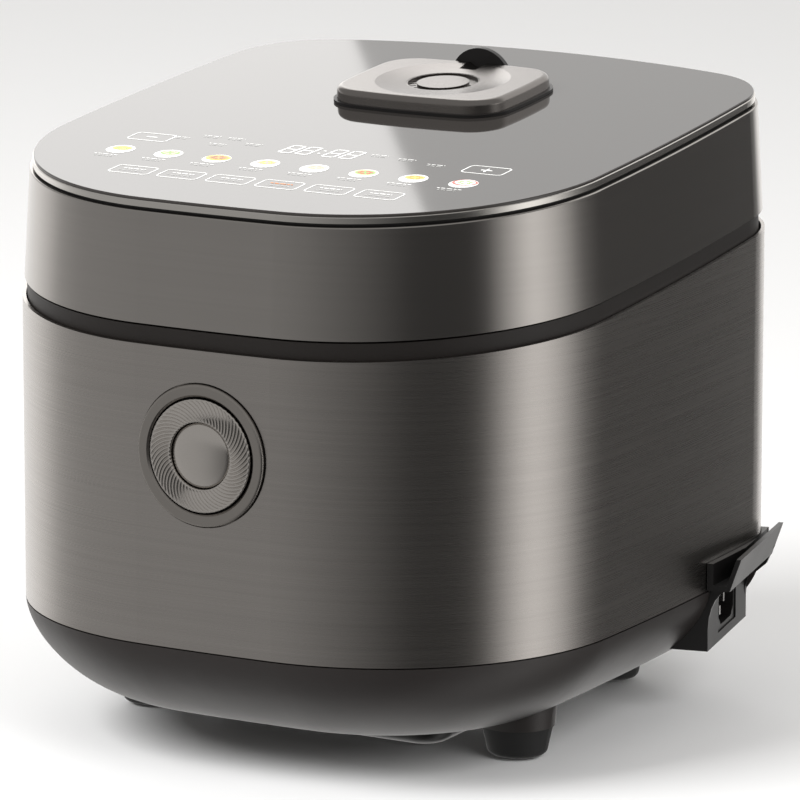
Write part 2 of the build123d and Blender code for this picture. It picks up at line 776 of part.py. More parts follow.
with BuildPart() as bay:
    with BuildSketch(hinge_plane):
        Circle(bay_radius)
        with Locations((0, -20)):
            Rectangle(2 * bay_radius, 40)
        with Locations((10, 0)):
            Rectangle(20, 2 * bay_radius)
    extrude(amount=bay_half, both=True)

with BuildPart() as lid_skirt:
    add(lid_skirt_form(lid_low, 0))
    fillet(lid_skirt.faces().filter_by(faces_up).edges(), 0.6)
    add(lid_skirt_form(lid_low - 1, skirt_wall), mode=Mode.SUBTRACT)
    add(bay.part, mode=Mode.SUBTRACT)
finish(lid_skirt, "lid_skirt")

boss_radius = 118.5
boss_low = 197.0
boss_wall = 2.5
duct_radius = 10.0
lid_screw_places = [(-98, -88), (98, -88), (-98, 88), (98, 88)]
fixing_plane = lid_level(0)
sensor_place = (40.0, -30.0)
duct_plane = Plane(origin=lid_level(glass_top).from_local_coords((0, steam_cap_y, -glass_top)), x_dir=(1, 0, 0),
                   z_dir=lid_normal)

with BuildPart() as lid_liner:
    add(prism(lid_level(liner_low), 4.2, liner_thickness))
    with BuildSketch(Plane.XY.offset(boss_low)):
        with Locations((0, pot_y)):
            Circle(boss_radius)
    extrude(amount=60)
    split(bisect_by=lid_level(liner_top), keep=Keep.BOTTOM)
    with BuildSketch(Plane.XY.offset(boss_low + boss_wall)):
        with Locations((0, pot_y)):
            Circle(boss_radius - boss_wall)
    extrude(amount=60, mode=Mode.SUBTRACT)
    add(bay.part, mode=Mode.SUBTRACT)
    with BuildSketch(duct_plane.offset(-30)):
        Circle(duct_radius + 0.2)
    extrude(amount=60, mode=Mode.SUBTRACT)
    with BuildSketch(fixing_plane.offset(-5)):
        with Locations((0, -129)):
            Rectangle(2 * striker_half + 0.6, 7)
        with Locations(*lid_screw_places):
            Circle(1.6)
    extrude(amount=20, mode=Mode.SUBTRACT)
    with BuildSketch(fixing_plane.offset(liner_low - 0.1)):
        with Locations(*lid_screw_places):
            Circle(3.2)
    extrude(amount=1.5, mode=Mode.SUBTRACT)
    with BuildSketch(Plane.XY.offset(boss_low - 5)):
        with Locations(sensor_place):
            Circle(4.2)
    extrude(amount=20, mode=Mode.SUBTRACT)
finish(lid_liner, "lid_liner")

with BuildPart() as inner_lid:
    with BuildSketch(Plane.XY.offset(194.4)):
        with Locations((0, pot_y)):
            Circle(110.0)
    extrude(amount=1.2)
    with BuildSketch(Plane.XY.offset(193.0)):
        with Locations((0, pot_y)):
            Circle(92.0)
            Circle(88.0, mode=Mode.SUBTRACT)
    extrude(amount=1.4)
    with BuildSketch(duct_plane.offset(-30)):
        Circle(duct_radius + 0.2)
    extrude(amount=60, mode=Mode.SUBTRACT)
    with BuildSketch(Plane.XY.offset(190)):
        with Locations(sensor_place):
            Circle(4.2)
    extrude(amount=20, mode=Mode.SUBTRACT)
finish(inner_lid, "inner_lid")

with BuildPart() as pot_gasket:
    with BuildSketch(Plane.XY.offset(pot_rim_z + free_gap)):
        with Locations((0, pot_y)):
            Circle(117.5)
            Circle(110.2, mode=Mode.SUBTRACT)
    extrude(amount=boss_low - pot_rim_z - free_gap)
    fillet(pot_gasket.faces().sort_by(Axis.Z)[0].edges(), 1.2)
finish(pot_gasket, "pot_gasket")

with BuildPart() as lid_sensor:
    with BuildSketch(Plane.XY.offset(191.5)):
        with Locations(sensor_place):
            Circle(4)
    extrude(amount=14)
finish(lid_sensor, "lid_sensor")

frame_inset = 5.8
rim_inset = 6.0
trim_low = skirt_height + 1.3
plate_low = 43.0
plate_high = 45.5
cup_radius = 26.5
cup_wall = 2.5
cup_low = 14.0

with BuildPart() as lid_frame:
    add(prism(lid_level(plate_low), frame_inset, plate_high - plate_low))
    with BuildSketch(fixing_plane.offset(liner_top)):
        with Locations(*lid_screw_places):
            Circle(5)
    extrude(amount=plate_low - liner_top)
    with BuildSketch(lid_level(30)):
        with Locations((0, 118)):
            Rectangle(2 * bay_half, 4)
    extrude(amount=plate_low - 30)
    add(prism(lid_level(plate_high), rim_inset, trim_low - plate_high))
    add(prism(lid_level(plate_high), rim_inset + 2.4, 10), mode=Mode.SUBTRACT)
    with BuildSketch(fixing_plane.offset(liner_top)):
        with Locations(*lid_screw_places):
            Circle(1.5)
    extrude(amount=18, mode=Mode.SUBTRACT)
    with BuildSketch(duct_plane.offset(plate_low - 1)):
        Circle(cup_radius + 0.3)
    extrude(amount=10, mode=Mode.SUBTRACT)
finish(lid_frame, "lid_frame")

with BuildPart() as lid_screws:
    for place in lid_screw_places:
        with BuildSketch(fixing_plane.offset(liner_low + 0.1)):
            with Locations(place):
                Circle(3)
        extrude(amount=1.3)
        with BuildSketch(fixing_plane.offset(liner_low + 1.4)):
            with Locations(place):
                Circle(1.42)
        extrude(amount=14)
finish(lid_screws, "lid_screws")

trim_inset = 4.6
trim_width = 3.4
glass_inset = 5.1
glass_lip = 1.1
glass_thickness = 3.0
cap_hole = 24.6

with BuildPart() as glass_trim:
    add(prism(lid_level(trim_low), trim_inset, glass_top - glass_lip - trim_low))
    fillet(glass_trim.faces().filter_by(faces_up).edges(), 0.4)
    add(prism(lid_level(trim_low - 1), trim_inset + trim_width, 10), mode=Mode.SUBTRACT)
finish(glass_trim, "glass_trim")

with BuildPart() as glass_panel:
    add(prism(lid_level(glass_top - glass_lip), glass_inset, glass_lip))
    chamfer(glass_panel.faces().filter_by(faces_up).edges(), 0.35)
    add(prism(lid_level(glass_top - glass_thickness), trim_inset + trim_width + 0.2, glass_thickness - glass_lip))
    with BuildSketch(duct_plane.offset(glass_top - 10)):
        Circle(cap_hole)
    extrude(amount=20, mode=Mode.SUBTRACT)
finish(glass_panel, "glass_panel")

display_y = -56.0
display_size = (50.0, 16.0)

with BuildPart() as touch_board:
    with BuildSketch(lid_level(plate_high + 0.1)):
        with Locations((0, -75)):
            RectangleRounded(184, 78, 4)
        with Locations((0, display_y)):
            Rectangle(display_size[0] + 0.6, display_size[1] + 0.6, mode=Mode.SUBTRACT)
    extrude(amount=1.6)
finish(touch_board, "touch_board")

with BuildPart() as display_module:
    with BuildSketch(lid_level(plate_high + 0.05)):
        with Locations((0, display_y)):
            Rectangle(*display_size)
    extrude(amount=2.8)
finish(display_module, "display_module")

with BuildPart() as steam_duct:
    with BuildSketch(duct_plane.offset(cup_low)):
        Circle(cup_radius)
    extrude(amount=glass_top - glass_thickness - 0.2 - cup_low)
    with BuildSketch(duct_plane.offset(cup_low + cup_wall)):
        Circle(cup_radius - cup_wall)
    extrude(amount=60, mode=Mode.SUBTRACT)
    with BuildSketch(duct_plane.offset(cup_low + 1)):
        Circle(duct_radius)
    extrude(amount=-32)
    with BuildSketch(duct_plane.offset(cup_low + 10)):
        Circle(duct_radius - 1.8)
    extrude(amount=-50, mode=Mode.SUBTRACT)
finish(steam_duct, "steam_duct")

neck_radius = 21.4

with BuildPart() as duct_seal:
    with BuildSketch(duct_plane.offset(36)):
        Circle(cup_radius - cup_wall)
        Circle(neck_radius + free_gap, mode=Mode.SUBTRACT)
    extrude(amount=5)
finish(duct_seal, "duct_seal")

# ================= steam cap =================
cap_side_radius = 280.0
cap_corner_radius = 18.0
rim_low = glass_top + 0.1
rim_high = glass_top + 1.3
cover_low_offset = glass_top + 1.3
cover_high_offset = glass_top + 7.2
neck_low = 28.0
cover_inset = 1.4


def cap_outline(height, inset=0.0):
    """The steam cap's rounded-square outline, above the lid plane."""
    x_reach = cap_side_radius - steam_cap_half[0]
    y_reach = cap_side_radius - steam_cap_half[1]
    with BuildSketch(duct_plane.offset(height), mode=Mode.PRIVATE) as sketch:
        Circle(2 * steam_cap_half[0])
        for x, y in ((x_reach, 0), (-x_reach, 0), (0, y_reach), (0, -y_reach)):
            with Locations((x, y)):
                Circle(cap_side_radius - inset, mode=Mode.INTERSECT)
        fillet(sketch.vertices(), cap_corner_radius - inset)
    return sketch.sketch


dish_radius = 29.5
dish_depth = 1.6
dish_ball = (dish_radius**2 + dish_depth**2) / (2 * dish_depth)
grille_radius = 16.0
grille_top = cover_high_offset - dish_depth + 0.35

tab_half = 13.0
tab_shoulder = 5.5
tab_height = 13.2
tab_thickness = 2.4
tab_plane = Plane(origin=duct_plane.from_local_coords((0, steam_cap_half[1] + 0.1, rim_low)), x_dir=(1, 0, 0),
                  z_dir=-duct_plane.y_dir)

with BuildPart() as steam_cap_base:
    extrude(cap_outline(rim_low), amount=rim_high - rim_low)
    with BuildSketch(duct_plane.offset(neck_low)):
        Circle(neck_radius)
    extrude(amount=rim_low - neck_low)
    with BuildSketch(duct_plane.offset(neck_low - 1)):
        Circle(neck_radius - 2)
    extrude(amount=40, mode=Mode.SUBTRACT)
    with BuildSketch(tab_plane):
        with BuildLine():
            Polyline((-tab_half, 0), (tab_half, 0), (tab_half, tab_shoulder))
            ThreePointArc((tab_half, tab_shoulder), (0, tab_height), (-tab_half, tab_shoulder))
            Line((-tab_half, tab_shoulder), (-tab_half, 0))
        make_face()
    extrude(amount=tab_thickness)
finish(steam_cap_base, "steam_cap_base")

with BuildPart() as steam_cap_cover:
    add(loft([cap_outline(cover_low_offset, cover_inset), cap_outline(cover_high_offset, cover_inset + 0.4)],
             mode=Mode.PRIVATE))
    top_face = steam_cap_cover.faces().filter_by(faces_up)
    fillet(top_face.edges(), 2.6)
    with Locations(duct_plane.offset(cover_high_offset + dish_ball - dish_depth).location):
        Sphere(dish_ball, mode=Mode.SUBTRACT)
    with Locations(duct_plane.offset(cover_high_offset).location * Location((0, steam_cap_half[1] + 1, 3.2))):
        Cylinder(5.6, 30, rotation=(90, 0, 0), mode=Mode.SUBTRACT)
    with BuildSketch(duct_plane.offset(cover_low_offset - 1)):
        Circle(grille_radius)
    extrude(amount=20, mode=Mode.SUBTRACT)
    extrude(cap_outline(cover_low_offset - 0.01, 4.5), amount=2.4, mode=Mode.SUBTRACT)
    with BuildSketch(tab_plane.offset(-1)):
        with Locations((0, 6)):
            Rectangle(2 * tab_half + 0.6, 30)
    extrude(amount=tab_thickness + 1.3, mode=Mode.SUBTRACT)
finish(steam_cap_cover, "steam_cap_cover")

vent_inner = 11.4
vent_outer = 15.4
vent_turn = 100.0

with BuildPart() as steam_cap_grille:
    with BuildSketch(duct_plane.offset(rim_high + 0.05)):
        Circle(grille_radius - 0.1)
    extrude(amount=grille_top - rim_high - 0.05)
    with BuildSketch(duct_plane.offset(grille_top - 1.2)):
        Circle(vent_outer)
        Circle(vent_inner, mode=Mode.SUBTRACT)
    extrude(amount=3, mode=Mode.SUBTRACT)
    with BuildSketch(duct_plane.offset(rim_high - 1)):
        with PolarLocations((vent_inner + vent_outer) / 2, 15, start_angle=148, angular_range=236):
            Rectangle(vent_outer - vent_inner - 0.6, 1.3)
        with PolarLocations((vent_inner + vent_outer) / 2, 1, start_angle=88):
            SlotArc(CenterArc((-(vent_inner + vent_outer) / 2, 0), (vent_inner + vent_outer) / 2, -50, vent_turn), 1.9)
    extrude(amount=10, mode=Mode.SUBTRACT)
finish(steam_cap_grille, "steam_cap_grille")

with BuildPart() as steam_cap_plug:
    with BuildSketch(duct_plane.offset(neck_low + 0.5)):
        Circle(neck_radius - 2.1)
        with PolarLocations(11, 6):
            Circle(3.2, mode=Mode.SUBTRACT)
    extrude(amount=2.4)
finish(steam_cap_plug, "steam_cap_plug")

print("lid normal", lid_normal)
print("hinge", hinge_y, round(hinge_z, 3))
print("striker radius", round(striker_radius, 3), "nose tip", round(nose_tip_y, 3))
print("duct origin", tuple(duct_plane.origin))
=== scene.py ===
import json
from math import cos, pi, radians, sin

import bmesh
import bpy
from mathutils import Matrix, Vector


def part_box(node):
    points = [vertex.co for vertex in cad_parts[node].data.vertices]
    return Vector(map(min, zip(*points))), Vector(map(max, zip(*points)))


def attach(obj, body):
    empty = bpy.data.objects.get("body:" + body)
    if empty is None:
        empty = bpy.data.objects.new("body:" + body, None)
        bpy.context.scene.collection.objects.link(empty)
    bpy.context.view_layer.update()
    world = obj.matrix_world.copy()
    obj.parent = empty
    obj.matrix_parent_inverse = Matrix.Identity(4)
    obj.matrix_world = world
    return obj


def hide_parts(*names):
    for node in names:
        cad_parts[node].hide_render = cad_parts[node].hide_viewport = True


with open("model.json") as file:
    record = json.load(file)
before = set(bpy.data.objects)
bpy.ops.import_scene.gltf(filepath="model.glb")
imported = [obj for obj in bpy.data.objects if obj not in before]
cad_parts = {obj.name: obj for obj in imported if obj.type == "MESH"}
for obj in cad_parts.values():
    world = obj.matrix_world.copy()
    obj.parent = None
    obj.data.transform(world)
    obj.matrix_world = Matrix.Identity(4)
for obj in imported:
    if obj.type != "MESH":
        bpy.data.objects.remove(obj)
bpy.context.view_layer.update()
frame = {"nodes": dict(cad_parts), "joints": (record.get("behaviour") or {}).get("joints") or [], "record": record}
print("frame loaded, nodes:", len(frame["nodes"]))

colourSocket = "NodeSocketColor"
valueSocket = "NodeSocketFloat"
vectorSocket = "NodeSocketVector"

# sizes, in cells a metre, that every finish shares; bandShare is a part of the brushed lines' own size
pattern = dict(slowPatches=28.0, dust=700.0, spinDrift=30.0, bandShare=0.22, lineShare=0.6)


def addMath(nodes, links, operation, first, second=None, third=None):
    # a math node whose inputs are sockets or plain numbers
    node = nodes.new("ShaderNodeMath")
    node.operation = operation
    for index, source in enumerate((first, second, third)):
        if source is None:
            continue
        if isinstance(source, (int, float)):
            node.inputs[index].default_value = source
        else:
            links.new(source, node.inputs[index])
    return node.outputs[0]


def addNoise(nodes, links, place, size, detail, roughness=0.5):
    # size is a socket or a plain number
    noise = nodes.new("ShaderNodeTexNoise")
    noise.inputs["Detail"].default_value = detail
    noise.inputs["Roughness"].default_value = roughness
    links.new(place, noise.inputs["Vector"])
    if isinstance(size, (int, float)):
        noise.inputs["Scale"].default_value = size
    else:
        links.new(size, noise.inputs["Scale"])
    return noise.outputs["Fac"]


def startGroup(name, inputs):
    # every effect takes a colour and a roughness and hands back a colour, a roughness and a height
    group = bpy.data.node_groups.new(name, "ShaderNodeTree")
    common = [("Colour", colourSocket, (0.5, 0.5, 0.5, 1)), ("Roughness", valueSocket, 0.5)]
    for label, kind, value in common + inputs:
        group.interface.new_socket(label, in_out="INPUT", socket_type=kind).default_value = value
    for label, kind in (("Colour", colourSocket), ("Roughness", valueSocket), ("Height", valueSocket)):
        group.interface.new_socket(label, in_out="OUTPUT", socket_type=kind)
    return group, group.nodes.new("NodeGroupInput").outputs, group.nodes.new("NodeGroupOutput").inputs


def tintAndFinish(group, given, result, toneMask, roughMask, height):
    # the masks run 0 to 1; Tone and Spread say how far they move the colour and the roughness
    nodes, links = group.nodes, group.links
    swing = addMath(nodes, links, "MULTIPLY_ADD", toneMask, 2.0, -1.0)
    strength = addMath(nodes, links, "MULTIPLY_ADD", swing, given["Tone"], 1.0)
    scale = nodes.new("ShaderNodeVectorMath")
    scale.operation = "SCALE"
    links.new(given["Colour"], scale.inputs[0])
    links.new(strength, scale.inputs["Scale"])
    links.new(scale.outputs[0], result["Colour"])
    roughSwing = addMath(nodes, links, "MULTIPLY_ADD", roughMask, 2.0, -1.0)
    links.new(addMath(nodes, links, "MULTIPLY_ADD", roughSwing, given["Spread"], given["Roughness"]),
              result["Roughness"])
    links.new(height, result["Height"])


def makeGrain():
    # moulded plastic and rubber: fine grain over slow patches
    group, given, result = startGroup("mouldedGrain", [
        ("Size", valueSocket, 900.0), ("Tone", valueSocket, 0.1), ("Spread", valueSocket, 0.06)])
    nodes, links = group.nodes, group.links
    place = nodes.new("ShaderNodeTexCoord").outputs["Object"]
    fine = addNoise(nodes, links, place, given["Size"], 2.0)
    slow = addNoise(nodes, links, place, pattern["slowPatches"], 3.0)
    mixed = addMath(nodes, links, "MULTIPLY_ADD", fine, 0.5, addMath(nodes, links, "MULTIPLY", slow, 0.5))
    tintAndFinish(group, given, result, mixed, slow, fine)
    return group


def makeBrushed():
    # brushed metal: noise pulled long by Stretch, with slower bands under the fine lines
    group, given, result = startGroup("brushedLines", [
        ("Stretch", vectorSocket, (12.0, 12.0, 2600.0)), ("Tone", valueSocket, 0.12),
        ("Spread", valueSocket, 0.08)])
    nodes, links = group.nodes, group.links
    place = nodes.new("ShaderNodeTexCoord").outputs["Object"]
    pulled = nodes.new("ShaderNodeVectorMath")
    pulled.operation = "MULTIPLY"
    links.new(place, pulled.inputs[0])
    links.new(given["Stretch"], pulled.inputs[1])
    lines = addNoise(nodes, links, pulled.outputs[0], 1.0, 4.0, 0.65)
    bands = addNoise(nodes, links, pulled.outputs[0], pattern["bandShare"], 2.0)
    slower = addMath(nodes, links, "MULTIPLY", bands, 1 - pattern["lineShare"])
    mixed = addMath(nodes, links, "MULTIPLY_ADD", lines, pattern["lineShare"], slower)
    tintAndFinish(group, given, result, mixed, lines, lines)
    return group


def makeHaze():
    # polished or glossy faces: faint wiped smears and dust
    group, given, result = startGroup("wipedHaze", [
        ("Size", valueSocket, 14.0), ("Tone", valueSocket, 0.05), ("Spread", valueSocket, 0.02)])
    nodes, links = group.nodes, group.links
    place = nodes.new("ShaderNodeTexCoord").outputs["Object"]
    smear = addNoise(nodes, links, place, given["Size"], 4.0, 0.6)
    dust = addNoise(nodes, links, place, pattern["dust"], 2.0)
    tintAndFinish(group, given, result, smear, smear, dust)
    return group


def makeMottled():
    # coated or spun parts: small mottled cells over slow drift
    group, given, result = startGroup("mottledCoat", [
        ("Size", valueSocket, 260.0), ("Tone", valueSocket, 0.2), ("Spread", valueSocket, 0.08)])
    nodes, links = group.nodes, group.links
    place = nodes.new("ShaderNodeTexCoord").outputs["Object"]
    cells = nodes.new("ShaderNodeTexVoronoi")
    links.new(place, cells.inputs["Vector"])
    links.new(given["Size"], cells.inputs["Scale"])
    slow = addNoise(nodes, links, place, pattern["spinDrift"], 3.0)
    tintAndFinish(group, given, result, slow, cells.outputs["Distance"], cells.outputs["Distance"])
    return group


effects = {"grain": makeGrain(), "brushed": makeBrushed(), "haze": makeHaze(), "mottled": makeMottled()}


def makeFinish(name, effect, colour, roughness, metallic=0.0, bump=0.1, depth=0.0001, **values):
    # values go to the effect's own inputs, such as Size, Tone and Spread
    material = bpy.data.materials.new(name)
    material.use_nodes = True
    nodes, links = material.node_tree.nodes, material.node_tree.links
    shader = nodes["Principled BSDF"]
    shader.inputs["Metallic"].default_value = metallic
    group = nodes.new("ShaderNodeGroup")
    group.node_tree = effects[effect]
    group.inputs["Colour"].default_value = (*colour, 1.0)
    group.inputs["Roughness"].default_value = roughness
    for label, value in values.items():
        group.inputs[label].default_value = value
    relief = nodes.new("ShaderNodeBump")
    relief.inputs["Strength"].default_value = bump
    relief.inputs["Distance"].default_value = depth
    links.new(group.outputs["Colour"], shader.inputs["Base Color"])
    links.new(group.outputs["Roughness"], shader.inputs["Roughness"])
    links.new(group.outputs["Height"], relief.inputs["Height"])
    links.new(relief.outputs["Normal"], shader.inputs["Normal"])
    return material


# one finish for each of the record's slots
finishes = {
    "base_plastic": dict(effect="grain", colour=(0.017, 0.014, 0.013), roughness=0.46, bump=0.25,
                         Size=1400.0),
    "collar_plastic": dict(effect="grain", colour=(0.009, 0.007, 0.006), roughness=0.55, bump=0.3,
                           Size=1600.0),
    "black_plastic": dict(effect="grain", colour=(0.006, 0.0055, 0.0055), roughness=0.42, bump=0.2,
                          Size=1500.0),
    "shell_steel": dict(effect="brushed", colour=(0.40, 0.378, 0.360), roughness=0.28, metallic=1.0,
                        bump=0.12, Stretch=(9.0, 9.0, 2600.0), Tone=0.16, Spread=0.07),
    "lid_metal": dict(effect="brushed", colour=(0.37, 0.352, 0.335), roughness=0.22, metallic=1.0, bump=0.05,
                      Stretch=(9.0, 9.0, 1800.0), Tone=0.07, Spread=0.03),
    "trim_steel": dict(effect="brushed", colour=(0.62, 0.60, 0.57), roughness=0.24, metallic=1.0, bump=0.1,
                       Stretch=(14.0, 14.0, 3600.0), Tone=0.12, Spread=0.05),
    "lid_glass": dict(effect="haze", colour=(0.030, 0.027, 0.025), roughness=0.03, bump=0.004, Tone=0.06,
                      Spread=0.008),
    "cap_metal": dict(effect="brushed", colour=(0.22, 0.205, 0.195), roughness=0.24, metallic=1.0, bump=0.08,
                      Stretch=(30.0, 1800.0, 1800.0), Tone=0.08, Spread=0.05),
    "button_metal": dict(effect="brushed", colour=(0.34, 0.32, 0.30), roughness=0.33, metallic=1.0, bump=0.08,
                         Stretch=(900.0, 900.0, 900.0), Tone=0.06, Spread=0.05),
    "knob_metal": dict(effect="haze", colour=(0.58, 0.55, 0.52), roughness=0.24, metallic=1.0, bump=0.03,
                       Size=60.0, Tone=0.05, Spread=0.03),
    "silicone": dict(effect="grain", colour=(0.42, 0.42, 0.40), roughness=0.62, bump=0.1, Size=900.0),
    "pot_coating": dict(effect="mottled", colour=(0.030, 0.028, 0.027), roughness=0.42, bump=0.12,
                        Size=900.0),
    "bare_aluminium": dict(effect="mottled", colour=(0.62, 0.62, 0.61), roughness=0.36, metallic=1.0,
                           bump=0.08, Size=700.0, Tone=0.06),
    "steel": dict(effect="haze", colour=(0.56, 0.55, 0.54), roughness=0.26, metallic=1.0, bump=0.03,
                  Size=90.0),
    "spring_steel": dict(effect="haze", colour=(0.34, 0.33, 0.32), roughness=0.34, metallic=1.0, bump=0.05,
                         Size=140.0),
    "copper_winding": dict(effect="mottled", colour=(0.62, 0.25, 0.12), roughness=0.38, metallic=1.0,
                           bump=0.2, Size=1400.0),
    "ferrite": dict(effect="grain", colour=(0.035, 0.033, 0.034), roughness=0.68, bump=0.3, Size=700.0),
    "circuit_board": dict(effect="mottled", colour=(0.018, 0.13, 0.050), roughness=0.40, bump=0.06,
                          Size=420.0),
    "component_plastic": dict(effect="grain", colour=(0.05, 0.05, 0.055), roughness=0.5, bump=0.15,
                              Size=900.0),
    "display_window": dict(effect="haze", colour=(0.010, 0.012, 0.014), roughness=0.10, bump=0.01),
    "foot_rubber": dict(effect="grain", colour=(0.010, 0.010, 0.010), roughness=0.72, bump=0.35, Size=1100.0),
}

slotFinish = {name: makeFinish(name, **look) for name, look in finishes.items()}
for row in frame["record"]["subparts"]:
    nodeObject = frame["nodes"][row["node"]]
    nodeFinish = slotFinish[row.get("material_slot") or row["slot"]]
    if not nodeObject.material_slots:
        nodeObject.data.materials.append(nodeFinish)
    for holder in nodeObject.material_slots:
        holder.link = "OBJECT"
        holder.material = nodeFinish
print("finishes laid on the frame:", len(slotFinish))


def addPiece(name, mesh, body, material, smooth=True):
    # a new piece is already in place, so it only has to ride its body
    piece = bpy.data.objects.new(name, mesh)
    bpy.context.scene.collection.objects.link(piece)
    mesh.materials.append(material)
    mesh.polygons.foreach_set("use_smooth", [smooth] * len(mesh.polygons))
    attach(piece, body)
    return piece


def addRings(name, rings, capEnds=False):
    # joins equal rings of points into one skin; capped ends get one flat face each
    mesh = bpy.data.meshes.new(name)
    grid = bmesh.new()
    made = [[grid.verts.new(point) for point in ring] for ring in rings]
    for low, high in zip(made, made[1:]):
        for index in range(len(low)):
            following = (index + 1) % len(low)
            grid.faces.new((low[index], low[following], high[following], high[index]))
    if capEnds:
        grid.faces.new(made[0][::-1])
        grid.faces.new(made[-1])
    bmesh.ops.recalc_face_normals(grid, faces=grid.faces)
    grid.to_mesh(mesh)
    grid.free()
    return mesh


# push button: a swirl-cut ring round a domed cap
ringLow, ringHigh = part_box("button_ring")
capLow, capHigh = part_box("button_cap")
buttonX = (ringLow.x + ringHigh.x) / 2
buttonZ = (ringLow.z + ringHigh.z) / 2
swirl = dict(outer=(ringHigh.x - ringLow.x) / 2, inner=0.0142, blades=60, perBlade=8, steps=18, cut=0.00055,
             sweep=0.42, edge=0.0011, crown=0.0006)


def buttonPoint(radius, angle, y):
    return Vector((buttonX + radius * cos(angle), y, buttonZ + radius * sin(angle)))


def buttonRing(radius, count, y, turn=0.0):
    return [buttonPoint(radius, 2 * pi * index / count + turn, y) for index in range(count)]


def buildSwirl(look):
    # rings from the back of the bore, over the cut face and down the outside to the back
    count = look["blades"] * look["perBlade"]
    width = look["outer"] - look["inner"]
    innerBack = buttonRing(look["inner"], count, ringHigh.y)
    front = []
    for step in range(look["steps"] + 1):
        share = step / look["steps"]
        radius = look["inner"] + share * width
        fromEdge = min(radius - look["inner"], look["outer"] - radius)
        full = min(1.0, fromEdge / look["edge"])
        crown = look["crown"] * (2 * share - 1) ** 2
        ring = []
        for index in range(count):
            angle = 2 * pi * index / count
            wave = 0.5 + 0.5 * cos(look["blades"] * angle)
            turned = angle + look["sweep"] * share ** 1.3
            ring.append(buttonPoint(radius, turned, ringLow.y + crown + look["cut"] * full * wave ** 1.5))
        front.append(ring)
    outerBack = buttonRing(look["outer"], count, ringHigh.y, look["sweep"])
    return addRings("buttonSwirl", [innerBack] + front + [outerBack, innerBack])


def weldMesh(mesh, distance=1e-7):
    # joins the ring that a skin starts and ends on
    grid = bmesh.new()
    grid.from_mesh(mesh)
    bmesh.ops.remove_doubles(grid, verts=grid.verts, dist=distance)
    bmesh.ops.recalc_face_normals(grid, faces=grid.faces)
    grid.to_mesh(mesh)
    grid.free()
    return mesh


swirlPiece = addPiece("buttonSwirl", weldMesh(buildSwirl(swirl)), "button", slotFinish["knob_metal"])
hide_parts("button_ring")

dome = dict(radius=(capHigh.x - capLow.x) / 2, rise=0.0030, rings=14, around=128, round=0.0007,
            flat=0.0002, sideShare=0.8)


def buildDome(look):
    # from the back, up the side, round the rim and over the crown to a small flat in the middle
    count = look["around"]
    deepest = (capHigh.y - capLow.y) * look["sideShare"]
    rings = [buttonRing(look["radius"], count, capHigh.y)]
    for step in range(look["rings"] + 1):
        share = 1 - step / look["rings"]
        radius = max(look["radius"] * share, look["flat"])
        sink = look["rise"] * share ** 2.4
        if step == 0:
            rings.append(buttonRing(radius, count, capLow.y + sink + look["round"]))
            radius -= look["round"] * 0.6
        rings.append(buttonRing(radius, count, capLow.y + min(sink, deepest)))
    return addRings("buttonDome", rings, capEnds=True)


domePiece = addPiece("buttonDome", buildDome(dome), "button", slotFinish["knob_metal"])
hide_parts("button_cap")
print("button built")


# printed panel on the lid glass
lidNormal = next(Vector(joint["axis"]) for joint in frame["joints"] if joint["name"] == "steam_cap_pull")
glassLevel = max(lidNormal.dot(vertex.co) for vertex in frame["nodes"]["glass_panel"].data.vertices)
panelOrigin = Vector((0, 0, glassLevel / lidNormal.z))
panelX = Vector((1, 0, 0))
panelY = lidNormal.cross(panelX)
inkLift = 0.00006
inkThickness = 0.00005
unit = 0.001  # metres in a millimetre


def panelPoint(x, y, lift=inkLift):
    # millimetres on the glass, from the middle of the lid
    return panelOrigin + x * unit * panelX + y * unit * panelY + lift * lidNormal


def makeInkWithPaintedGlow(name, colour):
    # painted light: each ink also glows a little in its own colour, so the prints read brighter than the lamps
    # alone make them
    ink = makeFinish(name, "haze", colour, 0.30, bump=0.01, Size=240.0, Tone=0.10, Spread=0.05)
    nodes = ink.node_tree.nodes
    effect = next(node for node in nodes if node.type == "GROUP")
    ink.node_tree.links.new(effect.outputs["Colour"], nodes["Principled BSDF"].inputs["Emission Color"])
    nodes["Principled BSDF"].inputs["Emission Strength"].default_value = 0.75
    return ink


inks = {
    "white": makeInkWithPaintedGlow("whiteInk", (0.72, 0.72, 0.70)), "grey": makeInkWithPaintedGlow("greyInk", (0.42, 0.42, 0.41)),
    "yellow": makeInkWithPaintedGlow("yellowInk", (0.62, 0.42, 0.04)), "green": makeInkWithPaintedGlow("greenInk", (0.16, 0.30, 0.05)),
    "orange": makeInkWithPaintedGlow("orangeInk", (0.62, 0.20, 0.02)), "red": makeInkWithPaintedGlow("redInk", (0.42, 0.04, 0.02)),
    "pink": makeInkWithPaintedGlow("pinkInk", (0.60, 0.24, 0.22)), "cream": makeInkWithPaintedGlow("creamInk", (0.62, 0.55, 0.36)),
    "brown": makeInkWithPaintedGlow("brownInk", (0.16, 0.07, 0.03)), "pale": makeInkWithPaintedGlow("paleInk", (0.42, 0.52, 0.28)),
}
printed = {colour: bmesh.new() for colour in inks}


def printShape(colour, outline, layer=0):
    # one flat patch of ink with a small thickness, so that it is a closed form
    grid = printed[colour]
    base = inkLift + layer * inkThickness
    low = [grid.verts.new(panelPoint(x, y, base)) for x, y in outline]
    high = [grid.verts.new(panelPoint(x, y, base + inkThickness)) for x, y in outline]
    grid.faces.new(low[::-1])
    grid.faces.new(high)
    for index in range(len(low)):
        following = (index + 1) % len(low)
        grid.faces.new((low[index], low[following], high[following], high[index]))


